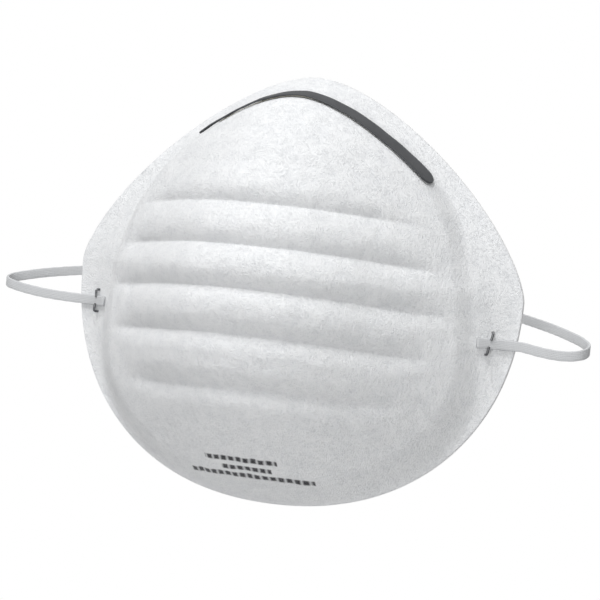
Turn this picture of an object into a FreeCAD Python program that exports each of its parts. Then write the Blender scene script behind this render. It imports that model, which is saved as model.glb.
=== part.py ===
import FreeCAD, Part
import math
import os

from FreeCAD import Placement, Rotation, Vector

# Disposable dust mask: a moulded non-woven cup with a pinched metal nose strip and one elastic strap
# that is stapled to the flange on both sides.
#
# Frame, in millimetres: +Z is up as worn, the front of the cup faces -Y, the wearer is on +Y.  The
# origin is near the middle of the face opening: the widest line of the rim is a little above it, and
# the rearmost point of the rim is close to the plane Y = 0.

SIZES = {
    # outline of the rim, as two half superellipses that share their width
    "half_width": 68.2,
    "widest_level": 5.5,
    "top_height": 60.4,
    "bottom_height": 64.7,
    "top_power": 1.417,
    "bottom_power": 2.2,
    "peak_rounding": 8.9,
    # dome
    "rim_front": -5.0,
    "chin_forward": 4.3,
    "cup_depth": 43.2,
    "top_fullness": 2.3,
    "bottom_fullness": 2.3,
    "side_fullness": 2.0,
    "side_flare": 1.7,
    # steep wall between the dome and the flange: its height along Y, and where it stands and how
    # wide it is, both as a share of the way from the middle to the rim
    "wall_top": 6.4,
    "wall_bottom": 3.8,
    "wall_side": 1.2,
    "wall_reach_top": 0.9,
    "wall_reach_bottom": 0.94,
    "wall_reach_side": 0.785,
    "wall_span_top": 0.057,
    "wall_span_bottom": 0.13,
    "wall_span_side": 0.06,
    "side_sharpness": 5.0,
    # moulded ribs: grooves pressed into the dome, each at its own height
    "groove_depth": 2.8,
    "crease_depth": 0.6,
    "groove_reach": 6.0,
    "groove_arch": 0.001,
    "groove_end": 0.715,
    "groove_fade": 0.1,
    "groove_shift": -2.0,
    "crease_level": 36.5,
    "groove_one": 25.2,
    "groove_two": 13.4,
    "groove_three": 1.4,
    "groove_four": -11.2,
    "groove_five": -26.2,
    # the three webs of the wall, and the gap between two of them
    "cover_web": 0.8,
    "filter_web": 0.7,
    "liner_web": 0.6,
    "web_gap": 0.15,
    # nose strip and the bead that holds it
    "strip_line": 0.895,
    "strip_left_end": -29.5,
    "strip_right_end": 39.2,
    "strip_half_width": 3.0,
    "strip_thickness": 0.6,
    "bead_half_width": 1.7,
    "bead_inset": 5.5,
    "bead_thickness": 0.2,
    "seat_gap": 0.1,
    # strap
    "strap_width": 2.8,
    "strap_thickness": 0.8,
    "strap_level": -6.7,
    "strap_inner_end": 56.6,
    "strap_tab_end": 68.6,
    "strap_seat_gap": 0.15,
    # staples
    "staple_place": 59.8,
    "staple_wire": 0.34,
    "staple_crown": 6.4,
    "staple_point": 2.3,
    "staple_slant_left": 2.0,
    "staple_slant_right": 12.0,
}

doc = FreeCAD.newDocument("dust_mask")
sheet = doc.addObject("Spreadsheet::Sheet", "Sizes")
for row, (name, value) in enumerate(SIZES.items(), start=1):
    sheet.set(f"A{row}", name)
    sheet.set(f"B{row}", str(value))
    sheet.setAlias(f"B{row}", name)
doc.recompute()


def size(name):
    """One driving dimension, read back from the sheet."""
    return float(sheet.get(name))


# ---------------------------------------------------------------------------------------------
# The cup's surface.  `reach` is 0 near the middle of the cup and 1 on the rim.  The bowl is
# depth * (1 - reach^fullness)^flare in front of the rim; a steep wall lifts it off the flange that
# runs round the cup, most of all over the nose, where the strip lies on that wall.

HALF_WIDTH = size("half_width")
GROOVES = [(size("crease_level"), size("crease_depth"))] + [
    (size(name), size("groove_depth"))
    for name in ("groove_one", "groove_two", "groove_three", "groove_four", "groove_five")
]
SLOPE_STEP = 0.05
MIDDLE_SPAN = 0.4
widest_level = size("widest_level")
size_top, power_top = size("top_height"), size("top_power")
size_bottom, power_bottom = size("bottom_height"), size("bottom_power")
peak_rounding = size("peak_rounding")
rim_front, chin_forward, cup_depth = size("rim_front"), size("chin_forward"), size("cup_depth")
top_fullness, bottom_fullness = size("top_fullness"), size("bottom_fullness")
side_fullness, side_flare = size("side_fullness"), size("side_flare")
groove_reach, groove_arch = size("groove_reach"), size("groove_arch")
groove_end, groove_fade, groove_shift = size("groove_end"), size("groove_fade"), size("groove_shift")
wall_heights = size("wall_top"), size("wall_bottom"), size("wall_side")
wall_reaches = size("wall_reach_top"), size("wall_reach_bottom"), size("wall_reach_side")
wall_spans = size("wall_span_top"), size("wall_span_bottom"), size("wall_span_side")
side_sharpness = size("side_sharpness")


def outline_shape(z):
    """Height and power of the half superellipse that the level z belongs to."""
    if z > widest_level:
        return size_top, power_top
    return size_bottom, power_bottom


def ease(value):
    """Smoothstep from 0 to 1."""
    value = min(max(value, 0.0), 1.0)
    return value * value * (3 - 2 * value)


def blended(values, share, z):
    """One of the (top, bottom, side) values, blended from its half towards the side."""
    top, bottom, side = values
    upright = top if z > widest_level else bottom
    return upright + (side - upright) * share


def reach(x, z):
    """How far out a point is: 1 on the rim, along any ray from the middle."""
    height, power = outline_shape(z)
    across = math.hypot(x, peak_rounding) / HALF_WIDTH
    return (across ** power + (abs(z - widest_level) / height) ** power) ** (1 / power)


def side_share(x, z):
    """0 straight above or below the middle of the cup, 1 straight beside it."""
    across = (x / HALF_WIDTH) ** 2
    along = ((z - widest_level) / outline_shape(z)[0]) ** 2
    return across / (across + along + 1e-9)


def bowl(x, z):
    """Y of the smooth bowl, lifted by the wall's whole height everywhere."""
    out = reach(x, z)
    share = side_share(x, z)
    lift = blended(wall_heights, share ** side_sharpness, z)
    even_share = 0.5 + (share - 0.5) * ease((out - peak_rounding / HALF_WIDTH) / MIDDLE_SPAN)
    fullness = blended((top_fullness, bottom_fullness, side_fullness), even_share, z)
    flare = 1 + (side_flare - 1) * even_share
    left = 1 - out ** fullness
    down = max(widest_level - z, 0) / size_bottom
    rim = rim_front - chin_forward * down * down
    return rim - lift - (cup_depth - lift) * math.copysign(abs(left) ** flare, left)


def dome(x, z):
    """Y of the outer surface without grooves: the bowl, brought back to the flange by the wall."""
    share = side_share(x, z) ** side_sharpness
    height, place, span = (blended(values, share, z) for values in (wall_heights, wall_reaches, wall_spans))
    return bowl(x, z) + height * ease(0.5 + (reach(x, z) - place) / span)


def groove(x, z):
    """How far the grooves press the outer surface back: a cusp at each groove, easing into ribs."""
    level = z + groove_arch * x * x
    window = ease(0.5 - (reach(x - groove_shift, z) - groove_end) / groove_fade / 2)
    press = 0.0
    for height, depth in GROOVES:
        away = abs(level - height) / groove_reach
        if away < 1:
            press += depth * (1 - away) ** 2
    return press * window


def slope_factor(x, z):
    """Length along Y of one millimetre of wall thickness, from the bowl's slope.

    The webs are stretched thinner where they are drawn over the steep wall.
    """
    by_x = (bowl(x + SLOPE_STEP, z) - bowl(x - SLOPE_STEP, z)) / (2 * SLOPE_STEP)
    by_z = (bowl(x, z + SLOPE_STEP) - bowl(x, z - SLOPE_STEP)) / (2 * SLOPE_STEP)
    return math.sqrt(1 + by_x * by_x + by_z * by_z)


def stations(count):
    """Evenly spaced stations from -1 to 1."""
    return [2 * index / count - 1 for index in range(count + 1)]


def graded(count):
    """Stations from -1 to 1 that lie closer together towards both ends."""
    bend = 0.42 * math.pi
    return [math.sin(bend * station) / math.sin(bend) for station in stations(count)]


def layer(front, back):
    """A closed solid between two grids of points.

    Each face is one surface through its grid; the four narrow sides are ruled between their edges.
    """
    surfaces = []
    for grid in (front, back):
        surface = Part.BSplineSurface()
        surface.interpolate(grid)
        surfaces.append(surface)
    rims = []
    for surface in surfaces:
        first_u, last_u, first_v, last_v = surface.bounds()
        rims.append([surface.uIso(value) for value in (first_u, last_u)]
                    + [surface.vIso(value) for value in (first_v, last_v)])
    faces = [surface.toShape() for surface in surfaces]
    faces += [Part.makeRuledSurface(near.toShape(), far.toShape()) for near, far in zip(*rims)]
    shell = Part.makeShell(faces)
    shell.sewShape()
    solid = Part.makeSolid(shell)
    if solid.Volume < 0:
        solid.reverse()
    return solid


def web(spots, outer, inner):
    """A web of the wall over a grid of (x, z) spots, between two levels.

    A level is the distance inwards from the cup's outer surface, square to the smooth bowl.
    """
    places = [[(x, dome(x, z) + groove(x, z), z, slope_factor(x, z)) for x, z in row] for row in spots]
    return layer(*(
        [[Vector(x, y + level * factor, z) for x, y, z, factor in row] for row in places]
        for level in (outer, inner)
    ))


def height_at(x, out):
    """Z of the upper point at x whose reach is `out`."""
    across = (math.hypot(x, peak_rounding) / HALF_WIDTH) ** power_top
    return widest_level + size_top * (out ** power_top - across) ** (1 / power_top)


def rim_radius(turn):
    """Distance of the rim from the middle in the direction `turn`, counted from the top, by halving."""
    low, high = 0.0, 2 * HALF_WIDTH
    for _ in range(50):
        middle = (low + high) / 2
        if reach(middle * math.sin(turn), widest_level + middle * math.cos(turn)) < 1:
            low = middle
        else:
            high = middle
    return low


def cup_spot(across, up):
    """A square from -1 to 1 laid over the whole outline: its four sides become the rim."""
    x = across * math.sqrt(1 - up * up / 2)
    z = up * math.sqrt(1 - across * across / 2)
    stretch = rim_radius(math.atan2(x, z))
    return stretch * x, widest_level + stretch * z


def add_feature(name, shape, placement=None):
    """A sub-part whose shape is set here from the sheet's values."""
    feature = doc.addObject("Part::Feature", name)
    feature.Shape = shape
    feature.Label = name
    feature.Placement = placement or Placement()
    return feature


# ---------------------------------------------------------------------------------------------
# The three webs of the cup.

CUP_COLUMNS = 36
CUP_ROWS = 62

cup_spots = [[cup_spot(across, up) for up in graded(CUP_ROWS)] for across in graded(CUP_COLUMNS)]
nodes = []
depth = 0.0
for name, thickness in (
    ("outer_shell", "cover_web"),
    ("filter_layer", "filter_web"),
    ("inner_liner", "liner_web"),
):
    nodes.append(add_feature(name, web(cup_spots, depth, depth + size(thickness))))
    depth += size(thickness) + size("web_gap")
wall_thickness = depth - size("web_gap")

# ---------------------------------------------------------------------------------------------
# Nose strip: a flat aluminium strip with rounded ends, bent over the nose along the steep wall, on a
# bead of adhesive.

STRIP_COLUMNS = 48
STRIP_ROWS = 4
END_WIDTH = 0.55
WALL_CHORD = 0.8


def strip_place(x):
    """The strip's middle on the wall at x, with its directions across the wall and out of it."""
    line = size("strip_line")
    z, z_before, z_after = (height_at(spot, line) for spot in (x, x - SLOPE_STEP, x + SLOPE_STEP))
    middle = Vector(x, dome(x, z), z)
    before = Vector(x - SLOPE_STEP, dome(x - SLOPE_STEP, z_before), z_before)
    after = Vector(x + SLOPE_STEP, dome(x + SLOPE_STEP, z_after), z_after)
    outwards = Vector(z_before - z_after, 0, 2 * SLOPE_STEP).normalize() * WALL_CHORD
    low = Vector(x - outwards.x, dome(x - outwards.x, z - outwards.z), z - outwards.z)
    high = Vector(x + outwards.x, dome(x + outwards.x, z + outwards.z), z + outwards.z)
    along = (after - before).normalize()
    front = along.cross(high - low).normalize()
    return middle, front.cross(along), front


def strip_layer(left, right, half_width, outer, inner):
    """A flat band over the nose between two heights above the wall; it narrows close to its ends."""
    grids = [], []
    for station in stations(STRIP_COLUMNS):
        middle, across, front = strip_place((left + right) / 2 + (right - left) / 2 * station)
        to_end = (right - left) / 2 * (1 - abs(station)) / half_width
        width = half_width * min(1.0, math.sqrt(END_WIDTH ** 2 + to_end * (1 - END_WIDTH ** 2)))
        for grid, level in zip(grids, (outer, inner)):
            grid.append([middle + across * (width * up) + front * level for up in stations(STRIP_ROWS)])
    return layer(*grids)


bead_front = size("seat_gap") + size("bead_thickness")
strip_back = bead_front + size("seat_gap")
strip_front = strip_back + size("strip_thickness")
left_end, right_end, inset = size("strip_left_end"), size("strip_right_end"), size("bead_inset")
nodes.append(add_feature("nose_strip", strip_layer(
    left_end, right_end, size("strip_half_width"), strip_front, strip_back)))
nodes.append(add_feature("nose_strip_adhesive", strip_layer(
    left_end + inset, right_end - inset, size("bead_half_width"), bead_front, size("seat_gap"))))

# ---------------------------------------------------------------------------------------------
# Strap ends: the last stretch of the elastic on each side lies flat on the outside of the flange.

TAB_COLUMNS = 8
TAB_ROWS = 3
strap_width, strap_thickness = size("strap_width"), size("strap_thickness")
strap_level = size("strap_level")
strap_seat = -size("strap_seat_gap")
for side, name in ((-1, "strap_end_left"), (1, "strap_end_right")):
    inner, outer = side * size("strap_inner_end"), side * size("strap_tab_end")
    levels = [strap_level + up * strap_width / 2 for up in stations(TAB_ROWS)]
    spots = [
        [(inner + (outer - inner) * (1 + along) / 2, level) for level in levels]
        for along in stations(TAB_COLUMNS)
    ]
    nodes.append(add_feature(name, web(spots, strap_seat - strap_thickness, strap_seat)))

# ---------------------------------------------------------------------------------------------
# Free strap: a flat band whose route is a list of points, joined by straight runs and tangent arcs.
# Each run out from the flange folds back on itself at the end of the loop and passes behind the cup.

TAB_GAP = 0.2
ARC_SHARE = 0.45
route_start = size("strap_tab_end") + TAB_GAP
strap_y = dome(route_start, strap_level) + (strap_seat - strap_thickness / 2)
ROUTE = [
    Vector(route_start, strap_y, strap_level),
    Vector(74.7, -5.4, -7.7),
    Vector(80.7, -5.0, -8.1),
    Vector(85.5, -3.4, -7.3),
    Vector(86.6, 1.0, -5.6),
    Vector(83.3, 4.8, -3.8),
    Vector(78.3, 10.6, -2.6),
    Vector(68.8, 21.6, -0.7),
    Vector(49.9, 37.6, 2.2),
    Vector(25.3, 48.6, 4.5),
    Vector(-1.9, 51.8, 5.5),
    Vector(-28.2, 49.2, 5.5),
    Vector(-53.1, 38.9, 4.5),
    Vector(-72.9, 22.6, 2.5),
    Vector(-84.8, 11.0, 0.1),
    Vector(-90.6, 4.9, -1.7),
    Vector(-93.8, 1.0, -3.0),
    Vector(-92.9, -3.4, -4.3),
    Vector(-85.6, -5.1, -5.6),
    Vector(-77.1, -5.4, -6.5),
    Vector(-route_start, strap_y, strap_level),
]


def rounded_route(points, bend=None):
    """Straight runs and tangent arcs as one wire, and each arc's radius.

    An arc is as large as its two runs allow, unless `bend` gives one radius for all of them.
    """
    edges, radii = [], []
    start = points[0]
    for before, corner, after in zip(points, points[1:], points[2:]):
        into, out = corner - before, after - corner
        turn = into.getAngle(out)
        radius = bend or ARC_SHARE * min(into.Length, out.Length) / math.tan(turn / 2)
        setback = radius * math.tan(turn / 2)
        arc_start = corner - into.normalize() * setback
        arc_end = corner + out.normalize() * setback
        inward = (arc_start + arc_end) * 0.5 - corner
        middle = corner + inward.normalize() * (radius / math.cos(turn / 2) - radius)
        edges.append(Part.LineSegment(start, arc_start).toShape())
        edges.append(Part.Arc(arc_start, middle, arc_end).toShape())
        radii.append(radius)
        start = arc_end
    edges.append(Part.LineSegment(start, points[-1]).toShape())
    return Part.Wire(edges), radii


route_wire, route_radii = rounded_route(ROUTE)
half_thickness, half_width = strap_thickness / 2, strap_width / 2
section = Part.makePolygon([
    Vector(route_start, strap_y + half_thickness * across, strap_level + half_width * up)
    for across, up in ((-1, -1), (1, -1), (1, 1), (-1, 1), (-1, -1))
])


def swept(section, path, steady):
    """A solid of one section along a path; the section keeps its edge along the `steady` direction."""
    pipe = Part.BRepOffsetAPI.MakePipeShell(path)
    pipe.setBiNormalMode(steady)
    pipe.add(section, False, False)
    pipe.build()
    pipe.makeSolid()
    return pipe.shape()


nodes.append(add_feature("elastic_strap", swept(section, route_wire, Vector(0, 0, 1))))

# ---------------------------------------------------------------------------------------------
# Staples: a round wire driven from inside the cup.  The crown lies on the liner, two legs pass
# through the wall and the strap, and their points are bent towards each other over the strap.  It is
# drawn in its own frame, with the cup's outer surface at Y = 0 and the crown along Z, and then turned
# to stand square on the sloping flange.

STAPLE_BEND = 1.6
POINT_DIP = 0.2
WIRE_GAP = 0.06
wire_radius = size("staple_wire")
half_crown, point = size("staple_crown") / 2, size("staple_point")
inner_level = wall_thickness + WIRE_GAP + wire_radius
outer_level = strap_seat - strap_thickness - WIRE_GAP - wire_radius
staple_path, _ = rounded_route(
    [
        Vector(0, outer_level + POINT_DIP, point - half_crown),
        Vector(0, outer_level, -half_crown),
        Vector(0, inner_level, -half_crown),
        Vector(0, inner_level, half_crown),
        Vector(0, outer_level, half_crown),
        Vector(0, outer_level + POINT_DIP, half_crown - point),
    ],
    bend=STAPLE_BEND * wire_radius,
)
tip_edge = staple_path.Edges[0]
tip_direction = tip_edge.tangentAt(tip_edge.FirstParameter)
wire_section = Part.Wire(Part.Circle(tip_edge.Vertexes[0].Point, tip_direction, wire_radius).toShape())
staple_shape = swept(wire_section, staple_path, Vector(1, 0, 0))
for side, hand in ((-1, "left"), (1, "right")):
    place = side * size("staple_place")
    rise = dome(place + SLOPE_STEP, strap_level) - dome(place - SLOPE_STEP, strap_level)
    square = Rotation(Vector(0, 0, 1), math.degrees(math.atan2(rise, 2 * SLOPE_STEP)))
    slant = Rotation(Vector(0, 1, 0), size("staple_slant_" + hand))
    seat = Vector(place, dome(place, strap_level), strap_level)
    place_and_turn = Placement(seat, square.multiply(slant))
    nodes.append(add_feature("staple_" + hand, staple_shape.copy(), place_and_turn))

doc.recompute()

# ---------------------------------------------------------------------------------------------
# Checks and files.

for thing in doc.Objects:
    if "Invalid" in thing.State or "Error" in thing.State:
        raise RuntimeError(f"{thing.Label} failed: {thing.State}")
for node in nodes:
    shape = node.Shape
    if shape.isNull() or not shape.isValid() or len(shape.Solids) != 1:
        raise RuntimeError(f"{node.Label}: {len(shape.Solids)} solids, valid {shape.isValid()}")

strap_volume = nodes[[node.Label for node in nodes].index("elastic_strap")].Shape.Volume
print("strap radii mm:", " ".join(f"{radius:.1f}" for radius in route_radii))
print(f"free strap length {route_wire.Length:.1f} mm, volume {strap_volume:.1f} mm3, "
      f"section x length {strap_width * strap_thickness * route_wire.Length:.1f} mm3")
print(f"wall thickness {wall_thickness:.2f} mm, strap leaves the flange at Y {strap_y:.2f}")

os.makedirs("parts", exist_ok=True)
for node in nodes:
    node.Shape.exportStep(f"parts/{node.Label}.step")
    box = node.Shape.BoundBox
    print(f"{node.Label}: {box.XLength:.1f} x {box.YLength:.1f} x {box.ZLength:.1f} mm, "
          f"volume {node.Shape.Volume:.0f} mm3, faces {len(node.Shape.Faces)}")
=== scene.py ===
import math

import bpy
import numpy as np
from mathutils import Matrix, Vector


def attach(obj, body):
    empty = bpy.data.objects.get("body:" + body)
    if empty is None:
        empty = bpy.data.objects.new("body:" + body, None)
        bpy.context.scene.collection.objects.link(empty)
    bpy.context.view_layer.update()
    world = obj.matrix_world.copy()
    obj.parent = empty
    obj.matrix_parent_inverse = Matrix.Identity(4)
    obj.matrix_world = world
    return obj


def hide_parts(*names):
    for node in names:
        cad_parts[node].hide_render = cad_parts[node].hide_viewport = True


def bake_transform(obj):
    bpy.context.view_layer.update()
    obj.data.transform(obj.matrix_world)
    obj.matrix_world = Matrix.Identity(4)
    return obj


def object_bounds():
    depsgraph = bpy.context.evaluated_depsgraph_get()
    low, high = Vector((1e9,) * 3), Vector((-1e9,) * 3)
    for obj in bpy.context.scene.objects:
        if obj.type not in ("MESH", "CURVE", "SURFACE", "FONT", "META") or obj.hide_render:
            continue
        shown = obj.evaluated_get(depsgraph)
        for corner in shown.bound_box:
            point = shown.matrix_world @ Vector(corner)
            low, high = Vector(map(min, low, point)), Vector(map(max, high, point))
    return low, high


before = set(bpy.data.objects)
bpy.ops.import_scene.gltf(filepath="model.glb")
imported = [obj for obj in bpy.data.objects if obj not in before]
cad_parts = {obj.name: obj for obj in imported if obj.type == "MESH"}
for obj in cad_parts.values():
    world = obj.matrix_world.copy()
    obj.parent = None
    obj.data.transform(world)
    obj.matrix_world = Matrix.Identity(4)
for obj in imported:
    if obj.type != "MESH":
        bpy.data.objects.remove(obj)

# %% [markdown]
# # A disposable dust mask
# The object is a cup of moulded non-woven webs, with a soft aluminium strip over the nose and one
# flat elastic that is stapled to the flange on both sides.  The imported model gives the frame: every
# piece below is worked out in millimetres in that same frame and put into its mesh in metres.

MM = 0.001
cad_low, cad_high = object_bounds()

# %% [markdown]
# ## Camera
# The camera comes first, because the cord is measured against what it sees.  It looks at the cup a
# little from the wearer's left, almost level with the nose, and is tipped by a few degrees, so the
# line between the staples falls to the right.

# %% Camera
VIEW_SIDE = math.radians(20.5)
VIEW_RISE = math.radians(0.4)
VIEW_TIP = math.radians(6.0)
VIEW_DISTANCE = 0.7565
VIEW_WIDTH = 0.1728
VIEW_TARGET = Vector((0.0, 0.0, 0.0))
VIEW_ASIDE = -0.00013
VIEW_DOWN = 0.00032


def make_camera():
    """A camera on a sphere around the target, rolled about its own line of sight."""
    towards = Vector((
        math.sin(VIEW_SIDE) * math.cos(VIEW_RISE),
        -math.cos(VIEW_SIDE) * math.cos(VIEW_RISE),
        math.sin(VIEW_RISE),
    ))
    right = Vector((math.cos(VIEW_SIDE), math.sin(VIEW_SIDE), 0.0))
    up = towards.cross(right)
    rolled_right = right * math.cos(VIEW_TIP) + up * math.sin(VIEW_TIP)
    rolled_up = towards.cross(rolled_right)
    data = bpy.data.cameras.new("camera")
    data.sensor_width = 36.0
    data.lens = data.sensor_width * VIEW_DISTANCE / VIEW_WIDTH
    data.clip_start = 0.01
    camera = bpy.data.objects.new("camera", data)
    bpy.context.scene.collection.objects.link(camera)
    place = VIEW_TARGET + towards * VIEW_DISTANCE
    place += rolled_right * VIEW_ASIDE - rolled_up * VIEW_DOWN
    turn = Matrix((rolled_right, rolled_up, towards)).transposed().to_4x4()
    camera.matrix_world = Matrix.Translation(place) @ turn
    bpy.context.scene.camera = camera
    return camera


camera = make_camera()
print("camera at", [round(value, 3) for value in camera.location], "lens", round(camera.data.lens, 1))

# %% [markdown]
# ## The shape of the cup
# The cup is described by one formula, the same one that the solid parts were made from.  `reach`
# says how far out a point is, from 0 in the middle to 1 on the rim, whose outline is two half
# superellipses.  The bowl is the depth times (1 - reach^fullness)^flare, and a steep wall lifts it
# off the flange that runs round the cup; the nose strip lies on that wall.  Five grooves are pressed
# into the dome; between them the web swells into the ribs that stiffen the cup.

# %% Formula of the cup
HALF_WIDTH = 68.2
WIDEST_LEVEL = 5.5
TOP_HEIGHT, TOP_POWER = 60.4, 1.417
BOTTOM_HEIGHT, BOTTOM_POWER = 64.7, 2.2
PEAK_ROUNDING = 8.9
RIM_FRONT, CHIN_FORWARD = -5.0, 4.3
CUP_DEPTH = 43.2
TOP_FULLNESS, BOTTOM_FULLNESS, SIDE_FULLNESS = 2.3, 2.3, 2.0
SIDE_FLARE = 1.7
WALL_HEIGHTS = (6.4, 3.8, 1.2)
WALL_REACHES = (0.9, 0.94, 0.785)
WALL_SPANS = (0.057, 0.13, 0.06)
SIDE_SHARPNESS = 5.0
GROOVE_LEVELS = np.array([36.5, 25.2, 13.4, 1.4, -11.2, -26.2])
GROOVE_DEPTHS = np.array([0.6, 2.8, 2.8, 2.8, 2.8, 2.8])
GROOVE_REACH = 6.0
GROOVE_ARCH = 0.001
GROOVE_END, GROOVE_FADE, GROOVE_SHIFT = 0.715, 0.1, -2.0
SLOPE_STEP = 0.05
MIDDLE_SPAN = 0.4


def smooth(value):
    """Smoothstep: 0 below 0, 1 above 1, and 3v^2 - 2v^3 between."""
    value = np.clip(value, 0.0, 1.0)
    return value * value * (3.0 - 2.0 * value)


def reach(x, z):
    """((|x| rounded / half width)^p + (rise / height)^p)^(1/p): p and height from the half, and
    the rise counted from the widest level."""
    height = np.where(z > WIDEST_LEVEL, TOP_HEIGHT, BOTTOM_HEIGHT)
    power = np.where(z > WIDEST_LEVEL, TOP_POWER, BOTTOM_POWER)
    across = np.hypot(x, PEAK_ROUNDING) / HALF_WIDTH
    return (across ** power + (np.abs(z - WIDEST_LEVEL) / height) ** power) ** (1.0 / power)


def side_share(x, z):
    """Across^2 / (across^2 + along^2): 0 above and below the middle, 1 beside it."""
    height = np.where(z > WIDEST_LEVEL, TOP_HEIGHT, BOTTOM_HEIGHT)
    across, along = (x / HALF_WIDTH) ** 2, ((z - WIDEST_LEVEL) / height) ** 2
    return across / (across + along + 1e-9)


def blended(values, share, z):
    """One of the (top, bottom, side) values, blended from its half towards the side."""
    top, bottom, side = values
    upright = np.where(z > WIDEST_LEVEL, top, bottom)
    return upright + (side - upright) * share


def bowl(x, z):
    """Y of the smooth bowl: rim - lift - (depth - lift) * (1 - reach^fullness)^flare, with the rim
    drawn forward under the chin by the square of the distance below the widest level."""
    out, share = reach(x, z), side_share(x, z)
    lift = blended(WALL_HEIGHTS, share ** SIDE_SHARPNESS, z)
    even_share = 0.5 + (share - 0.5) * smooth((out - PEAK_ROUNDING / HALF_WIDTH) / MIDDLE_SPAN)
    fullness = blended((TOP_FULLNESS, BOTTOM_FULLNESS, SIDE_FULLNESS), even_share, z)
    flare = 1.0 + (SIDE_FLARE - 1.0) * even_share
    left = 1.0 - out ** fullness
    down = np.maximum(WIDEST_LEVEL - z, 0.0) / BOTTOM_HEIGHT
    rim = RIM_FRONT - CHIN_FORWARD * down ** 2
    return rim - lift - (CUP_DEPTH - lift) * np.sign(left) * np.abs(left) ** flare


def dome(x, z):
    """Y of the outer surface without grooves: the bowl, brought back to the flange by the wall."""
    share = side_share(x, z) ** SIDE_SHARPNESS
    height, place, span = (blended(values, share, z) for values in (WALL_HEIGHTS, WALL_REACHES, WALL_SPANS))
    return bowl(x, z) + height * smooth(0.5 + (reach(x, z) - place) / span)


def groove(x, z):
    """Depth of the pressed grooves: the sum of depth * (1 - distance / reach)^2, fading outwards."""
    level = z + GROOVE_ARCH * x * x
    away = np.abs(level[..., None] - GROOVE_LEVELS) / GROOVE_REACH
    press = (GROOVE_DEPTHS * np.clip(1.0 - away, 0.0, None) ** 2).sum(axis=-1)
    return press * (1.0 - smooth(0.5 + (reach(x - GROOVE_SHIFT, z) - GROOVE_END) / GROOVE_FADE / 2.0))


def slope_factor(x, z):
    """Length along Y of one millimetre of wall: the root of 1 + the bowl's two slopes squared."""
    by_x = (bowl(x + SLOPE_STEP, z) - bowl(x - SLOPE_STEP, z)) / (2 * SLOPE_STEP)
    by_z = (bowl(x, z + SLOPE_STEP) - bowl(x, z - SLOPE_STEP)) / (2 * SLOPE_STEP)
    return np.sqrt(1.0 + by_x ** 2 + by_z ** 2)


def rim_radius(turn):
    """Distance of the rim from the middle in each direction, found by halving an interval."""
    low, high = np.zeros_like(turn), np.full_like(turn, 2 * HALF_WIDTH)
    for _ in range(50):
        middle = (low + high) / 2.0
        inside = reach(middle * np.sin(turn), WIDEST_LEVEL + middle * np.cos(turn)) < 1.0
        low, high = np.where(inside, middle, low), np.where(inside, high, middle)
    return low


centre = np.zeros(1)
print("outer surface at X 0, Z 0: Y", round(float(dome(centre, centre)[0]), 1), "mm")

# %% [markdown]
# ## Putting a grid into a mesh
# All new surfaces are grids of points with two parameters.  One helper turns such a grid into quads,
# closes it round where it meets itself, and closes its two ends with a fan of triangles.

# %% Grid to mesh


def grid_faces(rows, columns):
    """Quads between neighbouring rows of a grid whose columns close round."""
    row, column = np.meshgrid(np.arange(rows - 1), np.arange(columns), indexing="ij")
    after = (column + 1) % columns
    corners = (row * columns + column, row * columns + after,
               (row + 1) * columns + after, (row + 1) * columns + column)
    return np.stack(corners, axis=-1).reshape(-1, 4)


def mesh_object(name, points, quads, triangles=None):
    """An object at the origin from points in millimetres and arrays of quads and triangles."""
    mesh = bpy.data.meshes.new(name)
    faces = quads.tolist() + ([] if triangles is None else triangles.tolist())
    mesh.from_pydata((points * MM).tolist(), [], faces)
    mesh.polygons.foreach_set("use_smooth", np.ones(len(mesh.polygons), dtype=bool))
    mesh.update()
    piece = bpy.data.objects.new(name, mesh)
    bpy.context.scene.collection.objects.link(piece)
    return piece


def closed_tube(name, rings):
    """Rings of points, each closed round; the first and last ring are closed with a fan."""
    rows, columns, _ = rings.shape
    points = np.concatenate([rings.reshape(-1, 3), rings[:1].mean(axis=1), rings[-1:].mean(axis=1)])
    quads = grid_faces(rows, columns)
    around = np.arange(columns)
    after = (around + 1) % columns
    first, last = rows * columns, rows * columns + 1
    start_fan = np.stack([np.full(columns, first), after, around], axis=-1)
    base = (rows - 1) * columns
    end_fan = np.stack([np.full(columns, last), base + around, base + after], axis=-1)
    triangles = np.concatenate([start_fan, end_fan])
    return mesh_object(name, points, quads, triangles)


def face_outwards(piece):
    """Turn the faces outwards where the volume, summed over the triangles, comes out negative."""
    piece.data.calc_loop_triangles()
    count = len(piece.data.loop_triangles)
    corners = np.empty(count * 3, dtype=np.int32)
    piece.data.loop_triangles.foreach_get("vertices", corners)
    places = np.empty(len(piece.data.vertices) * 3)
    piece.data.vertices.foreach_get("co", places)
    a, b, c = places.reshape(-1, 3)[corners.reshape(-1, 3)].transpose(1, 0, 2)
    volume = float(np.einsum("ij,ij->i", a, np.cross(b, c)).sum() / 6.0) / MM ** 3
    print(f"{piece.name}: {count} triangles, volume {abs(volume):.0f} mm3")
    if volume < 0:
        piece.data.flip_normals()


# %% [markdown]
# ## The three webs of the cup
# The wall is a cover web, a filter web and a liner.  They are formed in a hot mould, and along the
# rim they are pressed together into a thin, hard edge before the cup is cut out.  Each web is one
# closed surface: rings run from the middle of its front out to the rim, round the edge, and back to
# the middle of its rear face.  Towards the rim all the levels are pressed forwards, and the webs
# are a little uneven, as moulded felt is.

# %% Webs
COVER_LEVELS = (0.0, 0.8)
FILTER_LEVELS = (0.95, 1.65)
LINER_LEVELS = (1.8, 2.4)
PRESSED_FROM, PRESSED_TO = 0.93, 0.962
PRESSED_SHARE = 0.5
RIM_ROWS = 5
RIM_BULGE = 0.0022
RIM_INSET = 1.0 - RIM_BULGE
FIRST_SHARE = 0.004
FELT_FROM, FELT_FADE = 0.80, 0.12


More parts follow.
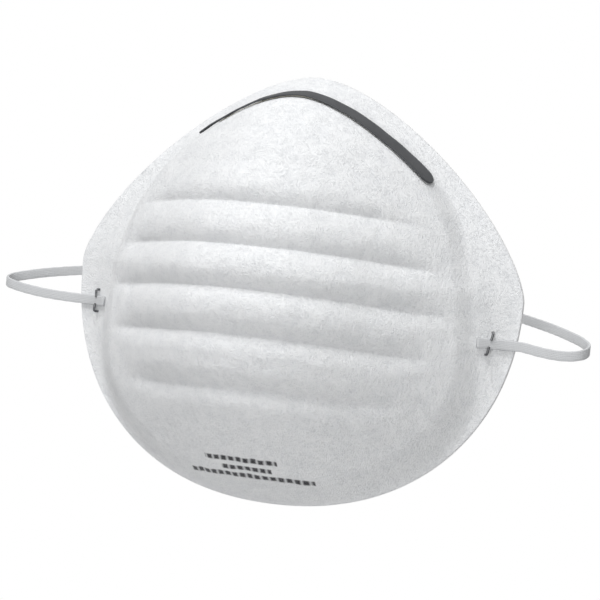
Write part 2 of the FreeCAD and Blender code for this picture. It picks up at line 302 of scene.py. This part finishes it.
def unevenness(x, z):
    """Slow waves of the moulded felt, in millimetres: a sum of slanted sines of unequal length."""
    waves = np.sin(x * 0.31 + z * 0.17) * np.sin(z * 0.23 - x * 0.12 + 1.3)
    waves = waves + 0.6 * np.sin(x * 0.71 - z * 0.53 + 0.4) * np.sin(z * 0.61 + x * 0.37)
    return 0.10 * waves


def wall_levels(share):
    """Share of its full thickness that the wall keeps: 1 inside, less on the pressed rim."""
    return 1.0 - (1.0 - PRESSED_SHARE) * smooth((share - PRESSED_FROM) / (PRESSED_TO - PRESSED_FROM))


def web_rings(levels, columns, front_rows, back_rows):
    """Rings of one web: ray share 0 to 1 on the front, the rounded edge, and 1 to 0 on the rear."""
    turn = np.arange(columns) * 2.0 * np.pi / columns
    edge = np.linspace(0.0, 1.0, RIM_ROWS + 2)[1:-1]
    share = np.concatenate([
        np.linspace(FIRST_SHARE, 1.0, front_rows),
        1.0 + RIM_BULGE * np.sin(np.pi * edge),
        np.linspace(1.0, FIRST_SHARE, back_rows),
    ])
    across = np.concatenate([np.zeros(front_rows), edge, np.ones(back_rows)])
    share, turn = share[:, None], turn[None, :]
    radius = share * rim_radius(turn) * RIM_INSET
    x, z = radius * np.sin(turn), WIDEST_LEVEL + radius * np.cos(turn)
    level = (levels[0] + (levels[1] - levels[0]) * across[:, None]) * wall_levels(share)
    felt = unevenness(x, z) * (1.0 - smooth((share - FELT_FROM) / FELT_FADE))
    y = dome(x, z) + groove(x, z) + level * slope_factor(x, z) + felt
    return np.stack([x, y, z], axis=-1)


def make_web(name, node, levels, columns, front_rows, back_rows):
    """One web of the cup as a closed piece that stands for its node."""
    piece = closed_tube(name, web_rings(levels, columns, front_rows, back_rows))
    face_outwards(piece)
    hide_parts(node)
    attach(piece, "cup")
    return piece


cover = make_web("cover_web", "outer_shell", COVER_LEVELS, 480, 170, 34)
filter_web = make_web("filter_web", "filter_layer", FILTER_LEVELS, 300, 80, 80)
liner = make_web("liner_web", "inner_liner", LINER_LEVELS, 480, 34, 150)

# %% [markdown]
# ## The nose strip
# A flat strip of soft aluminium with round ends, bent over the nose.  It lies flat on the steep wall,
# so it is bent the easy way, through its thickness.  Its middle is a line of equal reach; at each
# station the strip has its own frame: along the line, across the wall, and out of the wall.  The
# section is a flat rounded rectangle that narrows in a half circle at both ends.  Hand-bent metal is
# never even, so the strip has a slight wave.

# %% Nose strip
STRIP_LINE = 0.895
STRIP_LEFT, STRIP_RIGHT = -29.8, 39.5
STRIP_HALF_WIDTH = 3.0
STRIP_LEVELS = (0.42, 1.0)
STRIP_ROWS, STRIP_COLUMNS = 161, 32
SECTION_POWER = 0.34
END_REACH = 0.998
WALL_CHORD = 0.8


def height_at(x, out):
    """Z of the upper point at x whose reach is `out`."""
    across = (np.hypot(x, PEAK_ROUNDING) / HALF_WIDTH) ** TOP_POWER
    return WIDEST_LEVEL + TOP_HEIGHT * (out ** TOP_POWER - across) ** (1.0 / TOP_POWER)


def unit(vectors):
    """The same directions with length 1."""
    return vectors / np.linalg.norm(vectors, axis=-1, keepdims=True)


def on_dome(x, z):
    """Points of the smooth outer surface."""
    return np.stack([x, dome(x, z), z], axis=-1)


def strip_frames(x):
    """Middle of the strip at x, and the directions along it, across the wall and out of it."""
    z, before, after = (height_at(spot, STRIP_LINE) for spot in (x, x - SLOPE_STEP, x + SLOPE_STEP))
    along = unit(on_dome(x + SLOPE_STEP, after) - on_dome(x - SLOPE_STEP, before))
    lean = np.arctan2(after - before, 2 * SLOPE_STEP)
    aside_x, aside_z = -np.sin(lean) * WALL_CHORD, np.cos(lean) * WALL_CHORD
    chord = on_dome(x + aside_x, z + aside_z) - on_dome(x - aside_x, z - aside_z)
    out = unit(np.cross(along, chord))
    return on_dome(x, z), along, np.cross(out, along), out


def strip_rings():
    """Rounded rectangles in the strip's frames; the width is a half circle at the ends."""
    station = np.sin(np.linspace(-0.5, 0.5, STRIP_ROWS) * np.pi * END_REACH)
    x = (STRIP_LEFT + STRIP_RIGHT) / 2.0 + (STRIP_RIGHT - STRIP_LEFT) / 2.0 * station
    middle, along, across, out = strip_frames(x)
    steps = np.linalg.norm(np.diff(middle, axis=0), axis=1)
    passed = np.concatenate([[0.0], np.cumsum(steps)])
    to_end = np.minimum(passed, passed[-1] - passed)
    inner = np.clip(1.0 - to_end / STRIP_HALF_WIDTH, 0.0, 1.0)
    width = STRIP_HALF_WIDTH * np.sqrt(np.clip(1.0 - inner ** 2, 1e-5, 1.0))
    turn = np.arange(STRIP_COLUMNS) * 2.0 * np.pi / STRIP_COLUMNS
    aside = np.sign(np.cos(turn)) * np.abs(np.cos(turn)) ** SECTION_POWER
    through = np.sign(np.sin(turn)) * np.abs(np.sin(turn)) ** SECTION_POWER
    middle_level, half_level = sum(STRIP_LEVELS) / 2.0, (STRIP_LEVELS[1] - STRIP_LEVELS[0]) / 2.0
    wave = 0.05 * np.sin(x * 0.42 + 0.6) + 0.03 * np.sin(x * 0.93)
    level = middle_level + half_level * through + wave[:, None]
    return (middle[:, None] + across[:, None] * (width[:, None] * aside)[..., None]
            + out[:, None] * level[..., None])


strip = closed_tube("nose_band", strip_rings())
face_outwards(strip)
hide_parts("nose_strip")
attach(strip, "cup")

# %% [markdown]
# ## The elastic strap
# A flat knitted elastic.  Its ends lie on the outside of the flange under the staples; the free
# length leaves the flange, folds back tightly on itself on both sides and passes behind the cup.
# Its line is a smooth spline whose control points are the route of the solid strap, with the
# stretch on the flange added at both ends.

# %% Strap line
STRAP_STEP = 0.7
STRAP_LEVEL = -6.7
STRAP_WIDTH, STRAP_THICKNESS = 2.8, 0.8
STRAP_SEAT = -0.15
TAB_STATIONS = (57.0, 60.5, 64.0, 67.0)
ROUTE = [
    (68.8, -5.35, -6.7),
    (74.7, -5.4, -7.7),
    (80.7, -5.0, -8.1),
    (85.5, -3.4, -7.3),
    (86.6, 1.0, -5.6),
    (83.3, 4.8, -3.8),
    (78.3, 10.6, -2.6),
    (68.8, 21.6, -0.7),
    (49.9, 37.6, 2.2),
    (25.3, 48.6, 4.5),
    (-1.9, 51.8, 5.5),
    (-28.2, 49.2, 5.5),
    (-53.1, 38.9, 4.5),
    (-72.9, 22.6, 2.5),
    (-84.8, 11.0, 0.1),
    (-90.6, 4.9, -1.7),
    (-93.8, 1.0, -3.0),
    (-92.9, -3.4, -4.3),
    (-85.6, -5.1, -5.6),
    (-77.1, -5.4, -6.5),
    (-68.8, -5.35, -6.7),
]


def tab_points(side):
    """Points of the strap's middle on the flange, from its cut end to the edge of the cup."""
    x = side * np.array(TAB_STATIONS)
    z = np.full_like(x, STRAP_LEVEL)
    level = STRAP_SEAT - STRAP_THICKNESS / 2.0
    y = dome(x, z) + level * slope_factor(x, z)
    return np.stack([x, y, z], axis=-1).tolist()


def spline_points(controls):
    """Points read from a NURBS spline of order 3 through `controls`, in millimetres."""
    curve = bpy.data.curves.new("strap_line", "CURVE")
    curve.dimensions = "3D"
    spline = curve.splines.new("NURBS")
    spline.points.add(len(controls) - 1)
    values = np.ones((len(controls), 4))
    values[:, :3] = np.array(controls) * MM
    spline.points.foreach_set("co", values.ravel())
    spline.order_u = 3
    spline.use_endpoint_u = True
    spline.resolution_u = 24
    holder = bpy.data.objects.new("strap_line", curve)
    mesh = bpy.data.meshes.new_from_object(holder)
    places = np.empty(len(mesh.vertices) * 3)
    mesh.vertices.foreach_get("co", places)
    bpy.data.objects.remove(holder)
    bpy.data.curves.remove(curve)
    bpy.data.meshes.remove(mesh)
    return places.reshape(-1, 3) / MM


def even_points(points, step):
    """The same line with points a fixed step apart along it."""
    lengths = np.concatenate([[0.0], np.cumsum(np.linalg.norm(np.diff(points, axis=0), axis=1))])
    stations = np.linspace(0.0, lengths[-1], int(lengths[-1] / step) + 1)
    return np.stack([np.interp(stations, lengths, points[:, axis]) for axis in range(3)], axis=-1), stations


strap_controls = tab_points(1) + [list(point) for point in ROUTE] + tab_points(-1)[::-1]
strap_line, strap_stations = even_points(spline_points(strap_controls), STRAP_STEP)

# %% [markdown]
# The band is a flat section with rounded corners, carried along that line.  It has its own UV in
# millimetres, so the knit can follow it round the folds.

# %% Strap band
BAND_COLUMNS = 28
BAND_POWER = 0.4


def band_rings(line, stations):
    """A flat rounded section carried along the line, its width kept as upright as the line allows."""
    along = np.gradient(line, axis=0)
    along /= np.linalg.norm(along, axis=1, keepdims=True)
    upright = np.array([0.0, 0.0, 1.0]) - along * along[:, 2:3]
    upright /= np.linalg.norm(upright, axis=1, keepdims=True)
    aside = np.cross(along, upright)
    turn = np.arange(BAND_COLUMNS) * 2.0 * np.pi / BAND_COLUMNS
    wide = np.sign(np.cos(turn)) * np.abs(np.cos(turn)) ** BAND_POWER * STRAP_WIDTH / 2.0
    thick = np.sign(np.sin(turn)) * np.abs(np.sin(turn)) ** BAND_POWER * STRAP_THICKNESS / 2.0
    edge = 1.0 + 0.02 * np.sin(stations * 1.9)[:, None]
    return (line[:, None] + upright[:, None] * (wide * edge)[..., None]
            + aside[:, None] * thick[None, :, None])


def add_uv(piece, rings, stations):
    """UV in millimetres: U along the line and V round the section, from the vertices' own order."""
    rows, columns, _ = rings.shape
    lap = np.linalg.norm(np.diff(np.concatenate([rings[rows // 2], rings[rows // 2][:1]]), axis=0), axis=1)
    around = np.concatenate([[0.0], np.cumsum(lap)])
    corner_count = len(piece.data.loops)
    corners = np.empty(corner_count, dtype=np.int32)
    piece.data.loops.foreach_get("vertex_index", corners)
    row, column = np.minimum(corners // columns, rows - 1), corners % columns
    values = np.stack([stations[row], around[column]], axis=-1)
    faces = np.repeat(np.arange(len(piece.data.polygons)),
                      [polygon.loop_total for polygon in piece.data.polygons])
    last_column = np.zeros(len(piece.data.polygons), dtype=bool)
    np.logical_or.at(last_column, faces, column == columns - 1)
    wrap = last_column[faces] & (column == 0)
    values[wrap, 1] = around[-1]
    layer = piece.data.uv_layers.new(name="band")
    layer.data.foreach_set("uv", values.ravel())


strap_rings = band_rings(strap_line, strap_stations)
strap = closed_tube("strap_band", strap_rings)
add_uv(strap, strap_rings, strap_stations)
face_outwards(strap)
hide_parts("elastic_strap", "strap_end_left", "strap_end_right")
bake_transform(strap)

# %% [markdown]
# ## Finishes
# The webs share one effect, a mat of fibres: three layers of stretched noise, each turned another
# way, give short crossing strands, and a broad noise gives the cloudy look of an uneven felt.  The
# group puts out a height for the bump and a mask for the colour; each material uses its own scale.

# %% Shader helpers


def new_material(name):
    """A material with an empty tree, its Principled shader and its output."""
    material = bpy.data.materials.new(name)
    material.use_nodes = True
    tree = material.node_tree
    tree.nodes.clear()
    output = tree.nodes.new("ShaderNodeOutputMaterial")
    shader = tree.nodes.new("ShaderNodeBsdfPrincipled")
    tree.links.new(shader.outputs["BSDF"], output.inputs["Surface"])
    return material, tree, shader


def math_node(tree, operation, first, second=None):
    """A math node; an input is a socket to link or a number to set."""
    node = tree.nodes.new("ShaderNodeMath")
    node.operation = operation
    for index, value in enumerate((first, second)):
        if value is None:
            continue
        if hasattr(value, "links"):
            tree.links.new(value, node.inputs[index])
        else:
            node.inputs[index].default_value = value
    return node.outputs["Value"]


def noise_node(tree, vector, scale, detail=2.0, roughness=0.5):
    """A noise texture on a vector, read as one value."""
    node = tree.nodes.new("ShaderNodeTexNoise")
    node.inputs["Scale"].default_value = scale
    node.inputs["Detail"].default_value = detail
    node.inputs["Roughness"].default_value = roughness
    tree.links.new(vector, node.inputs["Vector"])
    return node.outputs["Fac"]


def mapped(tree, vector, turn=(0.0, 0.0, 0.0), scale=(1.0, 1.0, 1.0)):
    """The vector turned and stretched by a Mapping node."""
    node = tree.nodes.new("ShaderNodeMapping")
    node.inputs["Rotation"].default_value = turn
    node.inputs["Scale"].default_value = scale
    tree.links.new(vector, node.inputs["Vector"])
    return node.outputs["Vector"]


def ramp(tree, factor, stops):
    """A colour ramp with the given (position, colour) stops."""
    node = tree.nodes.new("ShaderNodeValToRGB")
    while len(node.color_ramp.elements) < len(stops):
        node.color_ramp.elements.new(0.5)
    for element, (position, color) in zip(node.color_ramp.elements, stops):
        element.position = position
        element.color = (*color, 1.0)
    tree.links.new(factor, node.inputs["Fac"])
    return node.outputs["Color"]


def bump(tree, height, strength, distance):
    """A bump node on a height."""
    node = tree.nodes.new("ShaderNodeBump")
    node.inputs["Strength"].default_value = strength
    node.inputs["Distance"].default_value = distance
    tree.links.new(height, node.inputs["Height"])
    return node.outputs["Normal"]


# %% [markdown]
# Each strand is the narrow middle of one noise, where its value is near a half.

# %% Fibre mat group
STRAND_TURNS = (0.25, 1.35, 2.45)
STRAND_SHARPNESS = 9.0


def make_fibre_group():
    """Strands: 1 - sharpness * |n - 0.5| of stretched noise n, cut off below 0, the strongest of
    three directions; cloud: a broad noise over the same vector."""
    group = bpy.data.node_groups.new("fibre_mat", "ShaderNodeTree")
    group.interface.new_socket("Vector", in_out="INPUT", socket_type="NodeSocketVector")
    group.interface.new_socket("Height", in_out="OUTPUT", socket_type="NodeSocketFloat")
    group.interface.new_socket("Strands", in_out="OUTPUT", socket_type="NodeSocketFloat")
    group.interface.new_socket("Cloud", in_out="OUTPUT", socket_type="NodeSocketFloat")
    entry = group.nodes.new("NodeGroupInput").outputs["Vector"]
    leave = group.nodes.new("NodeGroupOutput")
    strands = None
    for turn in STRAND_TURNS:
        stretched = mapped(group, mapped(group, entry, turn=(0.0, turn, 0.0)), scale=(0.16, 0.5, 1.0))
        value = noise_node(group, stretched, 1.9, detail=1.0)
        centred = math_node(group, "ABSOLUTE", math_node(group, "SUBTRACT", value, 0.5))
        line = math_node(group, "SUBTRACT", 1.0, math_node(group, "MULTIPLY", centred, STRAND_SHARPNESS))
        line = math_node(group, "MAXIMUM", line, 0.0)
        strands = line if strands is None else math_node(group, "MAXIMUM", strands, line)
    cloud = noise_node(group, entry, 0.22, detail=4.0, roughness=0.6)
    fine = noise_node(group, entry, 2.6, detail=3.0, roughness=0.65)
    height = math_node(group, "ADD", math_node(group, "MULTIPLY", strands, 0.45),
                       math_node(group, "MULTIPLY", fine, 0.8))
    height = math_node(group, "ADD", height, math_node(group, "MULTIPLY", cloud, 1.2))
    group.links.new(height, leave.inputs["Height"])
    group.links.new(strands, leave.inputs["Strands"])
    group.links.new(cloud, leave.inputs["Cloud"])
    return group


fibre_group = make_fibre_group()
print("fibre group:", len(fibre_group.nodes), "nodes")


def object_place(tree):
    """Object coordinates, in metres."""
    return tree.nodes.new("ShaderNodeTexCoord").outputs["Object"]


def fibre_mat(tree, scale):
    """The fibre group on object coordinates, in units of 1 / scale metres."""
    place = object_place(tree)
    node = tree.nodes.new("ShaderNodeGroup")
    node.node_tree = fibre_group
    tree.links.new(mapped(tree, place, scale=(scale, scale, scale)), node.inputs["Vector"])
    return node, place


# %% [markdown]
# The cover also carries three rows of plain dashes under the chin, where such masks have a printed
# line.  They are bars without letters, placed by height and by distance from the middle, with soft
# edges and a noise that makes them uneven.

# %% Cover, filter and liner
DASH_ROWS = ((-46.2, -14.3, 8.0), (-48.6, -9.3, 6.0), (-50.8, -20.7, 17.3))
DASH_HALF_HEIGHT = 0.62
DASH_PITCH = 2.3
EDGE_BLUR = 0.35
SMUDGE = 1.1
BAR_START, BAR_END = 0.1, 0.88
INK = (0.035, 0.035, 0.04)


def between(tree, value, low, high):
    """1 inside low..high, falling to 0 over the soft edge EDGE_BLUR."""
    middle, half = (low + high) / 2.0, (high - low) / 2.0
    away = math_node(tree, "ABSOLUTE", math_node(tree, "SUBTRACT", value, middle))
    inside = math_node(tree, "SUBTRACT", half + EDGE_BLUR / 2.0, away)
    return math_node(tree, "MINIMUM", math_node(tree, "MAXIMUM",
                     math_node(tree, "DIVIDE", inside, EDGE_BLUR), 0.0), 1.0)


def dash_mask(tree, place, smudge):
    """Rows of short bars on the underside of the chin; `smudge`, a noise, makes them uneven."""
    split = tree.nodes.new("ShaderNodeSeparateXYZ")
    tree.links.new(place, split.inputs["Vector"])
    x = math_node(tree, "DIVIDE", split.outputs["X"], MM)
    z = math_node(tree, "DIVIDE", split.outputs["Z"], MM)
    uneven = math_node(tree, "MULTIPLY", math_node(tree, "SUBTRACT", smudge, 0.5), SMUDGE)
    x, z = math_node(tree, "ADD", x, uneven), math_node(tree, "ADD", z, uneven)
    rows = None
    for level, start, end in DASH_ROWS:
        height = between(tree, z, level - DASH_HALF_HEIGHT, level + DASH_HALF_HEIGHT)
        row = math_node(tree, "MULTIPLY", height, between(tree, x, start, end))
        rows = row if rows is None else math_node(tree, "ADD", rows, row)
    cell = math_node(tree, "FRACT", math_node(tree, "DIVIDE", x, DASH_PITCH))
    bars = between(tree, cell, BAR_START, BAR_END)
    front = math_node(tree, "LESS_THAN", split.outputs["Y"], 0.0)
    return math_node(tree, "MULTIPLY", math_node(tree, "MULTIPLY", rows, bars), front)


def mix_color(tree, factor, first, second):
    """Mix of two colours; each is a socket or three numbers."""
    node = tree.nodes.new("ShaderNodeMix")
    node.data_type = "RGBA"
    tree.links.new(factor, node.inputs[0])
    for index, color in ((6, first), (7, second)):
        if hasattr(color, "links"):
            tree.links.new(color, node.inputs[index])
        else:
            node.inputs[index].default_value = (*color, 1.0)
    return node.outputs[2]


def web_material(name, low, high, scale, depth, printed=False):
    """Non-woven felt: cloudy colour between two tones, strands and fibres in the bump."""
    material, tree, shader = new_material(name)
    fibres, place = fibre_mat(tree, scale)
    mixed = math_node(tree, "ADD", math_node(tree, "MULTIPLY", fibres.outputs["Cloud"], 0.75),
                      math_node(tree, "MULTIPLY", fibres.outputs["Strands"], 0.3))
    color = ramp(tree, mixed, [(0.25, low), (0.7, high)])
    if printed:
        worn = math_node(tree, "MULTIPLY", dash_mask(tree, place, fibres.outputs["Cloud"]),
                         math_node(tree, "MINIMUM", fibres.outputs["Height"], 1.0))
        color = mix_color(tree, worn, color, INK)
    tree.links.new(color, shader.inputs["Base Color"])
    tree.links.new(bump(tree, fibres.outputs["Height"], 0.75, depth), shader.inputs["Normal"])
    shader.inputs["Roughness"].default_value = 0.92
    shader.inputs["Specular IOR Level"].default_value = 0.18
    shader.inputs["Sheen Weight"].default_value = 0.25
    shader.inputs["Sheen Roughness"].default_value = 0.5
    return material


cover.data.materials.append(
    web_material("cover_felt", (0.74, 0.755, 0.775), (0.86, 0.87, 0.88), 1000.0, 0.00042, printed=True))
filter_web.data.materials.append(
    web_material("filter_felt", (0.80, 0.80, 0.80), (0.88, 0.88, 0.88), 1300.0, 0.0002))
liner.data.materials.append(
    web_material("liner_felt", (0.80, 0.80, 0.795), (0.87, 0.87, 0.865), 1400.0, 0.0002))

# %% [markdown]
# ## Metal and elastic
# The strip is rolled aluminium with a dark, satin finish: fine rolling lines along it and brighter
# wear where fingers pinch it.  The staples are plain wire.  The elastic is knitted: cords run along
# it, and small stitches cross them; its colour follows their height, so the valleys between them
# carry painted shade.

# %% Strip, staples, adhesive and elastic


def strip_material():
    """Dark lacquered aluminium: streaks along X from stretched noise, and wear from a broad noise."""
    material, tree, shader = new_material("strip_metal")
    place = object_place(tree)
    streaks = noise_node(tree, mapped(tree, place, scale=(120.0, 2500.0, 2500.0)), 1.0, detail=3.0)
    wear = noise_node(tree, place, 160.0, detail=4.0)
    mixed = math_node(tree, "ADD", math_node(tree, "MULTIPLY", streaks, 0.35),
                      math_node(tree, "MULTIPLY", wear, 0.65))
    tree.links.new(ramp(tree, mixed, [(0.3, (0.04, 0.043, 0.047)), (0.75, (0.09, 0.094, 0.10))]),
                   shader.inputs["Base Color"])
    tree.links.new(math_node(tree, "ADD", math_node(tree, "MULTIPLY", mixed, 0.35), 0.4),
                   shader.inputs["Roughness"])
    tree.links.new(bump(tree, streaks, 0.25, 0.0001), shader.inputs["Normal"])
    shader.inputs["Metallic"].default_value = 0.2
    shader.inputs["Coat Weight"].default_value = 0.1
    shader.inputs["Coat Roughness"].default_value = 0.35
    return material


def wire_material():
    """Steel wire: darker and brighter patches from noise."""
    material, tree, shader = new_material("staple_wire")
    place = object_place(tree)
    patches = noise_node(tree, place, 900.0, detail=3.0)
    tree.links.new(ramp(tree, patches, [(0.3, (0.10, 0.103, 0.11)), (0.7, (0.24, 0.245, 0.25))]),
                   shader.inputs["Base Color"])
    tree.links.new(math_node(tree, "ADD", math_node(tree, "MULTIPLY", patches, 0.3), 0.2),
                   shader.inputs["Roughness"])
    shader.inputs["Metallic"].default_value = 1.0
    return material


def adhesive_material():
    """Hot-melt bead: waxy and a little cloudy."""
    material, tree, shader = new_material("adhesive_wax")
    place = object_place(tree)
    cloud = noise_node(tree, place, 400.0, detail=2.0)
    tree.links.new(ramp(tree, cloud, [(0.3, (0.66, 0.63, 0.52)), (0.7, (0.78, 0.76, 0.66))]),
                   shader.inputs["Base Color"])
    tree.links.new(bump(tree, cloud, 0.3, 0.0002), shader.inputs["Normal"])
    shader.inputs["Roughness"].default_value = 0.45
    return material


CORD_PITCH = 0.47
STITCH_PITCH = 0.5


def elastic_material():
    """Knitted elastic on the band's own UV: rounded cords along it and stitches across them; the colour
    follows their height, with painted shade in the valleys between them and a random mottle from the fuzz.
    """
    material, tree, shader = new_material("elastic_knit")
    uv = tree.nodes.new("ShaderNodeUVMap")
    uv.uv_map = "band"
    split = tree.nodes.new("ShaderNodeSeparateXYZ")
    tree.links.new(uv.outputs["UV"], split.inputs["Vector"])
    cord_turn = math_node(tree, "MULTIPLY", split.outputs["Y"], 2 * math.pi / CORD_PITCH)
    cords = math_node(tree, "SINE", cord_turn)
    stitch_turn = math_node(tree, "MULTIPLY", split.outputs["X"], 2 * math.pi / STITCH_PITCH)
    slant = math_node(tree, "ADD", stitch_turn, math_node(tree, "MULTIPLY", cords, 0.9))
    stitches = math_node(tree, "SINE", slant)
    fuzz = noise_node(tree, uv.outputs["UV"], 2.2, detail=3.0)
    height = math_node(tree, "ADD", math_node(tree, "MULTIPLY", cords, 0.5),
                       math_node(tree, "MULTIPLY", stitches, 0.3))
    height = math_node(tree, "ADD", height, math_node(tree, "MULTIPLY", fuzz, 0.8))
    # Colour from the same height: painted shade in the valleys between cords and stitches, and a random
    # mottle from the fuzz.
    valley_shade_and_fuzz_tone = math_node(tree, "ADD", math_node(tree, "MULTIPLY", height, 0.14), 0.45)
    tree.links.new(ramp(tree, valley_shade_and_fuzz_tone, [(0.2, (0.46, 0.47, 0.485)), (0.75, (0.62, 0.63, 0.64))]),
                   shader.inputs["Base Color"])
    tree.links.new(bump(tree, height, 0.6, 0.00007), shader.inputs["Normal"])
    shader.inputs["Roughness"].default_value = 0.85
    shader.inputs["Sheen Weight"].default_value = 0.2
    return material


def dress(node, material):
    """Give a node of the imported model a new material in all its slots."""
    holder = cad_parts[node]
    for slot in holder.material_slots:
        slot.material = material


strip.data.materials.append(strip_material())
strap.data.materials.append(elastic_material())
wire = wire_material()
dress("staple_left", wire)
dress("staple_right", wire)
dress("nose_strip_adhesive", adhesive_material())
print("materials:", sorted(material.name for material in bpy.data.materials if material.users))

# %% [markdown]
# ## Floor and light
# A white room: a pale floor and three large soft lights, above, in front and behind; the one behind
# lights the hollow of the cup.  The surroundings are brighter above than below, so the tops of the
# ribs are bright and their undersides are grey.

# %% Floor
FLOOR_DROP = 0.9
FLOOR_HALF = 0.9


def make_floor():
    """One flat square well below the cup."""
    height = cad_low[2] - FLOOR_DROP
    corners = np.array([(-1, -1), (1, -1), (1, 1), (-1, 1)]) * FLOOR_HALF / MM
    points = np.concatenate([corners, np.full((4, 1), height / MM)], axis=1)
    floor = mesh_object("floor", points, np.array([[0, 1, 2, 3]]))
    material, _, shader = new_material("floor_paint")
    shader.inputs["Base Color"].default_value = (0.93, 0.93, 0.93, 1.0)
    shader.inputs["Roughness"].default_value = 0.9
    floor.data.materials.append(material)
    print("floor at Z", round(height, 3), "m")


make_floor()

# %% [markdown]
# The camera sees a plain white background, while the light that falls on the cup comes from a grey
# gradient and from the three lamps.

# %% Light
SKY_TOP, SKY_LOW = 0.52, 0.10


def make_world():
    """White for the camera; for the light, a grey that grows brighter from below to above."""
    world = bpy.data.worlds.new("studio")
    world.use_nodes = True
    bpy.context.scene.world = world
    tree = world.node_tree
    tree.nodes.clear()
    output = tree.nodes.new("ShaderNodeOutputWorld")
    seen, glow = tree.nodes.new("ShaderNodeBackground"), tree.nodes.new("ShaderNodeBackground")
    seen.inputs["Color"].default_value = (1.0, 1.0, 1.0, 1.0)
    split = tree.nodes.new("ShaderNodeSeparateXYZ")
    tree.links.new(tree.nodes.new("ShaderNodeTexCoord").outputs["Generated"], split.inputs["Vector"])
    rise = math_node(tree, "ADD", math_node(tree, "MULTIPLY", split.outputs["Z"], 0.5), 0.5)
    tree.links.new(ramp(tree, rise, [(0.1, (SKY_LOW,) * 3), (0.9, (SKY_TOP,) * 3)]), glow.inputs["Color"])
    mix = tree.nodes.new("ShaderNodeMixShader")
    tree.links.new(tree.nodes.new("ShaderNodeLightPath").outputs["Is Camera Ray"], mix.inputs["Fac"])
    tree.links.new(glow.outputs["Background"], mix.inputs[1])
    tree.links.new(seen.outputs["Background"], mix.inputs[2])
    tree.links.new(mix.outputs["Shader"], output.inputs["Surface"])


def make_light(name, place, size, power):
    """A square soft light aimed at the cup."""
    data = bpy.data.lights.new(name, "AREA")
    data.size = size
    data.energy = power
    light = bpy.data.objects.new(name, data)
    bpy.context.scene.collection.objects.link(light)
    aim = (VIEW_TARGET - Vector(place)).to_track_quat("-Z", "Y").to_matrix().to_4x4()
    light.matrix_world = Matrix.Translation(Vector(place)) @ aim


make_world()
make_light("overhead", (-0.15, -0.6, 1.1), 0.6, 10.6)
make_light("front", (0.15, -1.3, 0.0), 0.8, 7.1)
make_light("behind", (0.3, 1.2, 0.3), 0.8, 6.5)
bpy.context.scene.view_settings.view_transform = "Standard"
print("lights:", sorted(light.name for light in bpy.data.lights))
